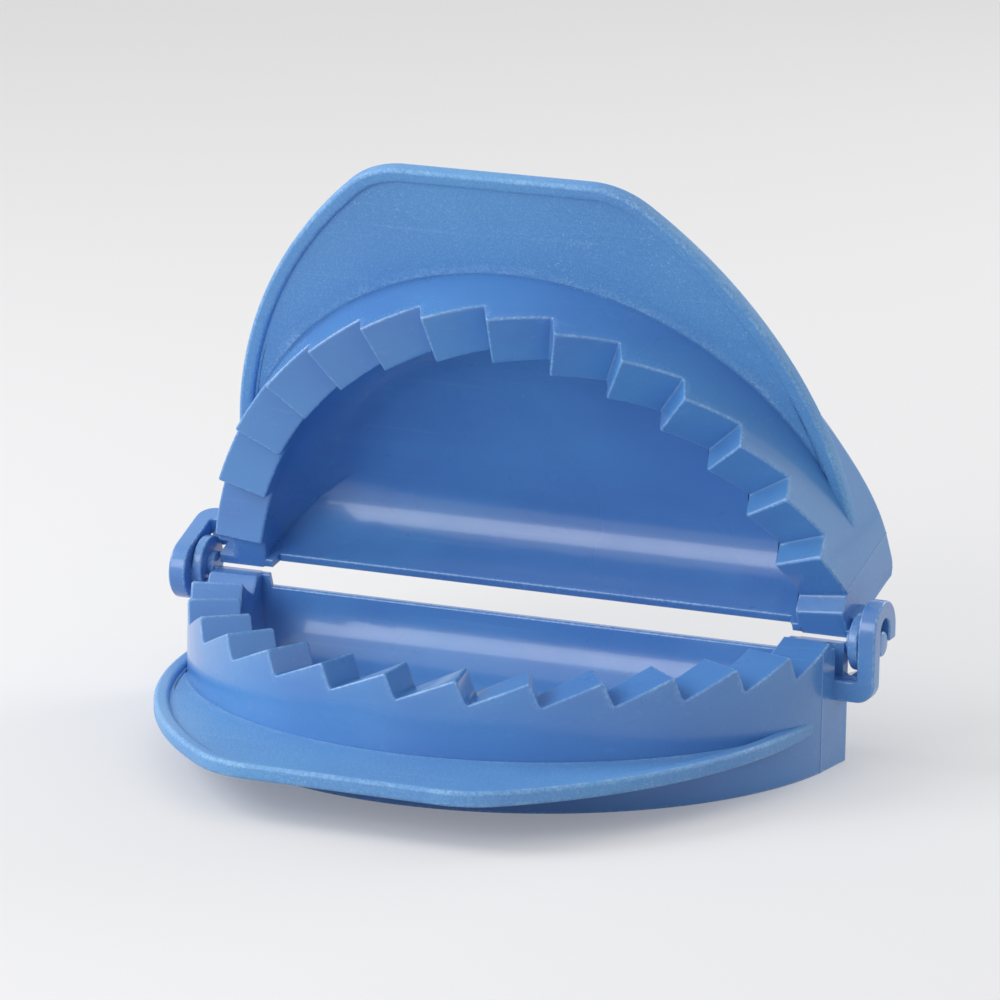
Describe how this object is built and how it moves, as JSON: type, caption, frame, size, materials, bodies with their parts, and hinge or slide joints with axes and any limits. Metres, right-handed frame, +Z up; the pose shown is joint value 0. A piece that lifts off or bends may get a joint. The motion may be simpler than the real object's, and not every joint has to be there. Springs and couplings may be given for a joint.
{
  "type": "empanada press",
  "caption": "Hinged crimping press for filled pastry: toothed half-round shells with cups, handle plates and a cutting skirt, joined by hooks and pins.",
  "frame": {"origin": "centre of the resting press on the surface it stands on, its bounding box's bottom centre", "axes": "+X along the hinge axis, to the right of someone who faces the teeth; +Y away from that person, from the handle plate towards the hinge; +Z up"},
  "size_m": [0.1672, 0.1254, 0.1266],
  "materials": {
    "lower_half": "semi-gloss moulded polypropylene with a fine grain on the handle plate",
    "upper_half": "semi-gloss moulded polypropylene with a fine grain on the handle plate"
  },
  "bodies": {
    "lower_half": {"lower_half": "lower_half"},
    "upper_half": {"upper_half": "upper_half"}
  },
  "joints": [
    {"name": "hinge", "type": "hinge", "parent": "lower_half", "child": "upper_half", "pos_m": [0, 0.03779, 0.027], "axis": [-1, 0, 0], "range_deg": [-68, 112]}
  ]
}
